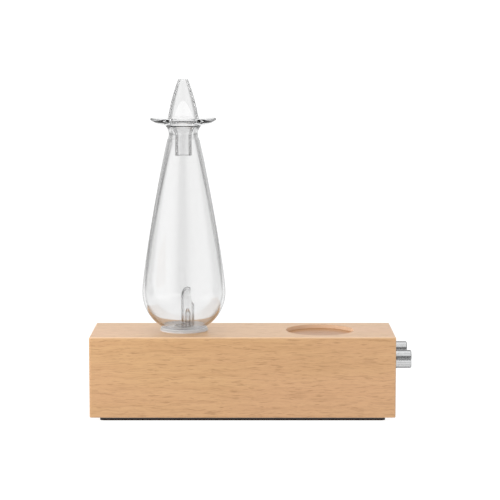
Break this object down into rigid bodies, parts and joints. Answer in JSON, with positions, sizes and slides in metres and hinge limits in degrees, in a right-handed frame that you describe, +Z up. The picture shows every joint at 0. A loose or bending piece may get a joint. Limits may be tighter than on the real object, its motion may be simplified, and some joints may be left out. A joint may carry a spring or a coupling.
{
  "type": "essential oil diffuser",
  "caption": "Nebulising essential oil diffuser: teardrop glass reservoir with a hollow stopper on a rectangular beech block with a round rest, rotary knobs and an air pump inside.",
  "frame": {"origin": "centre of the underside of the rubber pad, on the surface that the diffuser stands on", "axes": "+X along the block towards the knobs, +Y towards the back with the power inlet, +Z up"},
  "size_m": [0.2213, 0.064, 0.2338],
  "materials": {
    "glass": "clear blown borosilicate glass, polished",
    "silicone": "translucent white silicone rubber",
    "beech": "pale beech, fine dark flecks along the grain, satin oil",
    "dowel_wood": "plain turned beech dowel",
    "knob_aluminium": "bright turned and fluted aluminium",
    "black_plastic": "black moulded ABS",
    "black_rubber": "black rubber",
    "pale_plastic": "natural nylon or acetal",
    "foam": "open-cell charcoal foam",
    "steel": "zinc-plated or bright steel",
    "brass": "bright brass",
    "ferrite": "dark sintered ferrite",
    "board_green": "green solder mask",
    "capacitor_sleeve": "dark shrink sleeve",
    "red_insulation": "red PVC insulation",
    "black_insulation": "black PVC insulation",
    "white_insulation": "white PVC insulation"
  },
  "bodies": {
    "base": {"air_filter": "foam", "air_tube": "silicone", "base_pad": "black_rubber", "bottom_cover": "black_plastic", "bracket_screws": "steel", "capacitors": "capacitor_sleeve", "control_board": "board_green", "control_bodies": "black_plastic", "control_bracket": "steel", "control_bushings": "brass", "control_nuts": "steel", "control_pins": "brass", "control_washers": "steel", "control_wires": "white_insulation", "controller_chips": "black_plastic", "corner_posts": "dowel_wood", "cover_screws": "steel", "dc_jack": "black_plastic", "dc_jack_blades": "brass", "dc_jack_nut": "steel", "dc_jack_pin": "brass", "diaphragm": "black_rubber", "glass_socket": "pale_plastic", "motor_bush": "brass", "motor_can": "steel", "motor_end_cap": "black_plastic", "motor_magnets": "ferrite", "motor_terminals": "brass", "motor_wire_black": "black_insulation", "motor_wire_red": "red_insulation", "power_wire_black": "black_insulation", "power_wire_red": "red_insulation", "pump_case": "pale_plastic", "pump_cover": "pale_plastic", "pump_cradle": "black_rubber", "pump_screws": "steel", "pump_strap": "steel", "seat_gasket": "silicone", "socket_screws": "steel", "tapping_screws": "steel", "threaded_inserts": "brass", "valve_plate": "pale_plastic", "wire_connectors": "pale_plastic", "wood_base": "beech", "yoke": "pale_plastic"},
    "reservoir": {"glass_reservoir": "glass", "nozzle_shroud": "glass", "jet_tube": "glass"},
    "stopper": {"glass_stopper": "glass"},
    "output_control_knob": {"output_knob": "knob_aluminium", "output_shaft": "steel", "output_grub_screw": "steel"},
    "timer_control_knob": {"timer_knob": "knob_aluminium", "timer_shaft": "steel", "timer_grub_screw": "steel"},
    "pump_rotor": {"motor_shaft": "steel", "motor_armature": "steel", "eccentric": "pale_plastic", "crank_pin": "steel"}
  },
  "joints": [
    {"name": "reservoir_lift", "type": "slide", "parent": "base", "child": "reservoir", "axis": [0, 0, 1], "range_m": [0, 0.05]},
    {"name": "stopper_lift", "type": "slide", "parent": "reservoir", "child": "stopper", "axis": [0, 0, 1], "range_m": [0, 0.04]},
    {"name": "output_knob_turn", "type": "hinge", "parent": "base", "child": "output_control_knob", "pos_m": [0.105, -0.018, 0.0416], "axis": [-1, 0, 0], "range_deg": [0, 300]},
    {"name": "timer_knob_turn", "type": "hinge", "parent": "base", "child": "timer_control_knob", "pos_m": [0.105, 0.018, 0.0416], "axis": [-1, 0, 0], "range_deg": [0, 300]},
    {"name": "motor_spin", "type": "hinge", "parent": "base", "child": "pump_rotor", "pos_m": [0, 0, 0.02], "axis": [1, 0, 0], "continuous": true}
  ]
}
